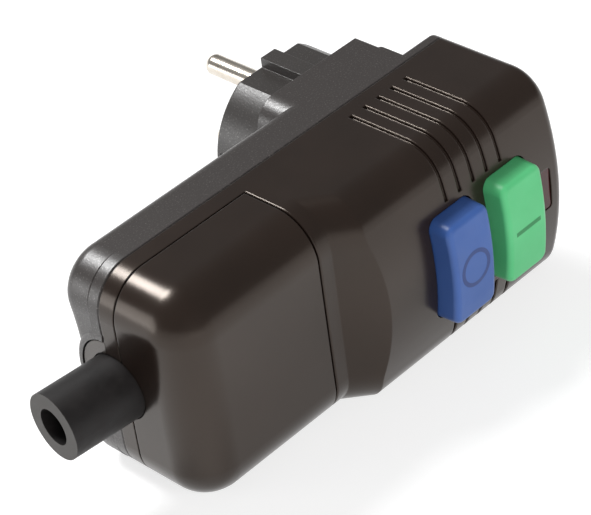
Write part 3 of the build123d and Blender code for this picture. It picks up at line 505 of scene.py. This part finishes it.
ferriteSkin = {
    "colour": (0.055, 0.055, 0.06),
    # glint: a lighter base colour painted on the specks as highlights
    "glint": (0.20, 0.20, 0.21),
    "grainScale": 1600,
    "glintScale": 2200,
    "speckEdge": (0.62, 0.72),
    "polishEdge": (0.45, 0.7),
    "roughness": (0.4, 0.65),
    "grainStrength": 0.5,
    "grainDepth": 0.05 * mm,
}
dress(sparkPlastic("coreFerrite", ferriteSkin), "sensing_core")

coilSkin = {
    "colour": (0.62, 0.24, 0.10),
    # The valley colour is painted shade between the turns.
    "paintedValleyShade": (0.20, 0.06, 0.025),
    "pitchScale": 700,
    "pitchStretch": (1, 0, 0),
    "enamelScale": 500,
    "roughness": (0.25, 0.4),
    "ridgeStrength": 0.6,
    "ridgeDepth": 0.12 * mm,
}
dress(woundWire("coilCopper", coilSkin), "coil_winding")
ringWireSkin = dict(coilSkin, pitchScale=900, pitchStretch=(0, 1, 1), colour=(0.66, 0.28, 0.12))
dress(woundWire("ringCopper", ringWireSkin), "sensing_winding")

earthWireSkin = {
    "colour": (0.06, 0.34, 0.05),
    "bandPaintedShade": (0.72, 0.60, 0.03),
    "bandScale": 75,
    "bandStretch": (1, 1.6, 1),
    "edge": (0.55, 0.62),
    "skinScale": 700,
    "skinStrength": 0.2,
    "skinDepth": 0.03 * mm,
    "roughness": (0.34, 0.46),
}
dress(striped("earthInsulation", earthWireSkin), "earth_lead")
resistorSkin = dict(
    earthWireSkin, colour=(0.58, 0.42, 0.22), bandPaintedShade=(0.22, 0.05, 0.02), bandScale=190,
    bandStretch=(0, 0, 1), edge=(0.72, 0.78),
)
dress(striped("resistorLacquer", resistorSkin), "test_resistor")
capacitorSkin = dict(
    earthWireSkin, colour=(0.02, 0.035, 0.16), bandPaintedShade=(0.55, 0.57, 0.60), bandScale=38,
    bandStretch=(1, 0, 0), edge=(0.90, 0.93), roughness=(0.2, 0.3),
)
dress(striped("capacitorSleeve", capacitorSkin), "smoothing_capacitor")
liveWireSkin = dict(creamSkin, colour=(0.20, 0.075, 0.03), colourTwo=(0.25, 0.10, 0.045))
dress(mouldedPlastic("liveInsulation", liveWireSkin), "live_load_lead")
neutralWireSkin = dict(creamSkin, colour=(0.03, 0.12, 0.48), colourTwo=(0.045, 0.15, 0.54))
dress(mouldedPlastic("neutralInsulation", neutralWireSkin), "neutral_load_lead")

boardSkin = {
    "colour": (0.012, 0.085, 0.030),
    "trackPaintedShade": (0.04, 0.19, 0.07),
    "trackScale": 160,
    "trackEdge": (0.10, 0.14),
    "trackStrength": 0.4,
    "trackDepth": 0.035 * mm,
    "weaveScale": 900,
    "roughness": (0.28, 0.4),
}
dress(boardMask("boardMask", boardSkin), "circuit_board")
print("stage: materials made")


# Round wire springs in place of the square ones.
testSpring = {
    "stands": "test_spring",
    "joint": "test_press",
    "travel": 1.8 * mm,
    "start": (25.4, -30.02, 25),
    "towards": (0, -1, 0),
    "length": 11.96 * mm,
    "radius": 3.6 * mm,
    "wire": 0.6 * mm,
    "turns": 4.5,
    "stepsPerTurn": 28,
    "wireSides": 12,
}
resetSpring = dict(
    testSpring, stands="reset_spring", joint="reset_press", travel=3.0 * mm, start=(42.0, -30.02, 25)
)
openingSpring = dict(
    testSpring, stands="opening_spring", joint="contact_slide", travel=2.5 * mm,
    start=(42.0, -28.58, 25), towards=(0, 1, 0), length=11.76 * mm, radius=3.1 * mm, wire=0.5 * mm,
)
plungerSpring = dict(
    testSpring, stands="plunger_spring", joint="trip_slide", travel=1.6 * mm,
    start=(15.22, -19.6, 25), towards=(1, 0, 0), length=2.95 * mm, radius=1.7 * mm, wire=0.45 * mm,
    turns=2.5,
)


def windSpring(s):
    # A ring of wire is turned about Z while it climbs, from the fixed end at the origin.
    steps = round(s["turns"] * s["stepsPerTurn"])
    half = s["wire"] / 2
    wire = bmesh.new()
    across = Matrix.Translation((s["radius"], 0, half)) @ Matrix.Rotation(math.pi / 2, 4, "X")
    bmesh.ops.create_circle(wire, cap_ends=False, segments=s["wireSides"], radius=half, matrix=across)
    climb = (s["length"] - s["wire"]) / steps
    bmesh.ops.spin(
        wire, geom=wire.verts[:] + wire.edges[:], cent=(0, 0, 0), axis=(0, 0, 1),
        dvec=(0, 0, climb), angle=2 * math.pi * s["turns"], steps=steps, use_duplicate=False,
    )
    bmesh.ops.holes_fill(wire, edges=wire.edges[:], sides=0)
    bmesh.ops.recalc_face_normals(wire, faces=wire.faces)
    for face in wire.faces:
        face.smooth = len(face.verts) == 4  # the two cut ends stay flat
    return wire


def placeSpring(name, s, material):
    start = Vector(s["start"]) * mm
    wire = windSpring(s)
    turned = Vector(s["towards"]).to_track_quat("Z", "Y").to_matrix().to_4x4()
    bmesh.ops.transform(wire, matrix=Matrix.Translation(start) @ turned, verts=wire.verts)
    mesh = bpy.data.meshes.new(name)
    wire.to_mesh(mesh)
    wire.free()
    mesh.materials.append(material)
    spring = bpy.data.objects.new(name, mesh)
    scene.collection.objects.link(spring)
    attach(spring, "plug_body")
    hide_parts(s["stands"])
    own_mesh(spring)


placeSpring("testSpring", testSpring, springSteel)
placeSpring("resetSpring", resetSpring, springSteel)
placeSpring("openingSpring", openingSpring, springSteel)
placeSpring("plungerSpring", plungerSpring, springSteel)
print("stage: springs wound")


# Marks on the buttons: a ring on the test button and a bar on the reset button.
# Each is a thin sheet that follows the crowned top and goes down with its button; its darker colour is
# painted shade standing in for the sunk mark's recess.
markSettings = {
    "crownRadius": 72 * mm,
    "crownTop": -44.2 * mm,
    "middle": 25 * mm,
    "lift": 0.015 * mm,
    "thickness": 0.08 * mm,
    "ring": {"x": 25.4 * mm, "outer": 4.3 * mm, "inner": 3.35 * mm},
    "bar": {"x": 42.0 * mm, "width": 1.0 * mm, "length": 7.6 * mm},
}


def layOnCrown(sheet, x):
    # The flat shape is drawn in X and Y about the origin and bent on to the button's top.
    s = markSettings
    for vertex in sheet.verts:
        across = vertex.co.y
        drop = s["crownRadius"] - math.sqrt(s["crownRadius"] ** 2 - across**2)
        vertex.co = Vector((x + vertex.co.x, s["crownTop"] + drop - s["lift"], s["middle"] + across))
    bmesh.ops.recalc_face_normals(sheet, faces=sheet.faces)
    if sum((face.normal.y for face in sheet.faces)) > 0:
        bmesh.ops.reverse_faces(sheet, faces=sheet.faces)
    bmesh.ops.solidify(sheet, geom=sheet.faces[:], thickness=s["thickness"])


def placeMark(name, sheet, skin, body):
    mesh = bpy.data.meshes.new(name)
    sheet.to_mesh(mesh)
    sheet.free()
    mark = bpy.data.objects.new(name, mesh)
    scene.collection.objects.link(mark)
    mesh.materials.append(mouldedPlastic(name + "PaintedShade", skin))
    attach(mark, body)


def ringMark(s):
    sheet = bmesh.new()
    bmesh.ops.create_circle(sheet, cap_ends=False, segments=72, radius=s["outer"])
    grown = bmesh.ops.extrude_edge_only(sheet, edges=sheet.edges[:])
    inner = [part for part in grown["geom"] if isinstance(part, bmesh.types.BMVert)]
    shrink = s["inner"] / s["outer"]
    bmesh.ops.scale(sheet, vec=(shrink, shrink, 1), verts=inner)
    layOnCrown(sheet, s["x"])
    return sheet


def barMark(s):
    sheet = bmesh.new()
    bmesh.ops.create_grid(sheet, x_segments=8, y_segments=2, size=0.5)
    bmesh.ops.scale(sheet, vec=(s["length"], s["width"], 1), verts=sheet.verts)
    layOnCrown(sheet, s["x"])
    return sheet


# The marks' darker colours are painted shade of the sunk recesses.
paintedShadeTest = dict(testSkin, colour=(0.014, 0.038, 0.16), colourTwo=(0.018, 0.046, 0.18))
paintedShadeReset = dict(testSkin, colour=(0.012, 0.19, 0.055), colourTwo=(0.016, 0.22, 0.065))
placeMark("testMark", ringMark(markSettings["ring"]), paintedShadeTest, "test_button_body")
placeMark("resetMark", barMark(markSettings["bar"]), paintedShadeReset, "reset_button_body")
print("stage: marks placed")


# Floor, light and surroundings.
lightSettings = {
    "aim": Vector((0, 0, 0.02)),
    "world": 0.20,
    "ceiling": 0.28,
    "sweep": (0.06, 0.20),
    "key": {"power": 6.5, "size": 0.30, "direction": (-0.11, 0.52, 0.85), "distance": 0.8},
    "fill": {"power": 6.5, "size": 0.7, "direction": (-0.25, -0.93, 0.3), "distance": 0.9},
    "side": {"power": 1.9, "size": 0.5, "direction": (-0.86, 0.5, 0.1), "distance": 0.8},
    "floorReach": 4,
    "floorGap": 0.02 * mm,
    "paper": 0.5,
    "glow": 0.68,
    "farGlow": 0.9,
    "farReach": (0.5, 1.6),
}


def seenDirectly(tree):
    # One for camera, mirror and window rays, nothing for the light that reaches the plug.
    path = tree.nodes.new("ShaderNodeLightPath")
    either = path.outputs["Is Camera Ray"]
    for kind in ("Is Glossy Ray", "Is Transmission Ray"):
        larger = tree.nodes.new("ShaderNodeMath")
        larger.operation = "MAXIMUM"
        tree.links.new(either, larger.inputs[0])
        tree.links.new(path.outputs[kind], larger.inputs[1])
        either = larger.outputs["Value"]
    return either


def mixValues(tree, factor, first, second):
    mix = tree.nodes.new("ShaderNodeMix")
    tree.links.new(factor, mix.inputs["Factor"])
    for socket, value in (("A", first), ("B", second)):
        if isinstance(value, float):
            mix.inputs[socket].default_value = value
        else:
            tree.links.new(value, mix.inputs[socket])
    return mix.outputs["Result"]


def setStage(s):
    floor = bmesh.new()
    bmesh.ops.create_grid(floor, x_segments=1, y_segments=1, size=s["floorReach"])
    bmesh.ops.translate(floor, vec=(0, 0, -s["floorGap"]), verts=floor.verts)
    mesh = bpy.data.meshes.new("floor")
    floor.to_mesh(mesh)
    floor.free()
    plane = bpy.data.objects.new("floor", mesh)
    scene.collection.objects.link(plane)
    material, tree, shader, coords = startMaterial("floorPaper")
    shader.inputs["Base Color"].default_value = (s["paper"], s["paper"], s["paper"], 1)
    shader.inputs["Roughness"].default_value = 0.9
    shader.inputs["Specular IOR Level"].default_value = 0.1
    shader.inputs["Emission Color"].default_value = (1, 1, 1, 1)
    far = tree.nodes.new("ShaderNodeVectorMath")
    far.operation = "LENGTH"
    tree.links.new(coords, far.inputs[0])
    glow = spread(tree, far.outputs["Value"], s["glow"], s["farGlow"], *s["farReach"])
    tree.links.new(times(tree, seenDirectly(tree), glow), shader.inputs["Emission Strength"])
    mesh.materials.append(material)


def softLamp(name, s, mirrored=True):
    data = bpy.data.lights.new(name, "AREA")
    data.shape = "DISK"
    data.size = s["size"]
    data.energy = s["power"]
    lamp = bpy.data.objects.new(name, data)
    scene.collection.objects.link(lamp)
    direction = Vector(s["direction"]).normalized()
    lamp.location = lightSettings["aim"] + direction * s["distance"]
    lamp.rotation_euler = direction.to_track_quat("Z", "Y").to_euler()
    lamp.visible_glossy = mirrored


def setWorld(s):
    # The room is dim overhead. What the camera sees of it is white, and so is the sweep near the horizon.
    world = bpy.data.worlds.new("studio")
    world.use_nodes = True
    scene.world = world
    tree = world.node_tree
    background = tree.nodes["Background"]
    background.inputs["Color"].default_value = (1, 1, 1, 1)
    path = tree.nodes.new("ShaderNodeLightPath")
    height = along(tree, tree.nodes.new("ShaderNodeTexCoord").outputs["Generated"], (0, 0, 1))
    sweep = spread(tree, height, 1, s["ceiling"], *s["sweep"])
    mirrored = mixValues(tree, path.outputs["Is Glossy Ray"], s["world"], sweep)
    passed = mixValues(tree, path.outputs["Is Transmission Ray"], mirrored, sweep)
    seen = mixValues(tree, path.outputs["Is Camera Ray"], passed, 1.0)
    tree.links.new(seen, background.inputs["Strength"])


setStage(lightSettings)
setWorld(lightSettings)
softLamp("keyLight", lightSettings["key"])
softLamp("fillLight", lightSettings["fill"], mirrored=False)  # its reflection would cross the cover
softLamp("sideLight", lightSettings["side"])
print("stage: light and floor set")
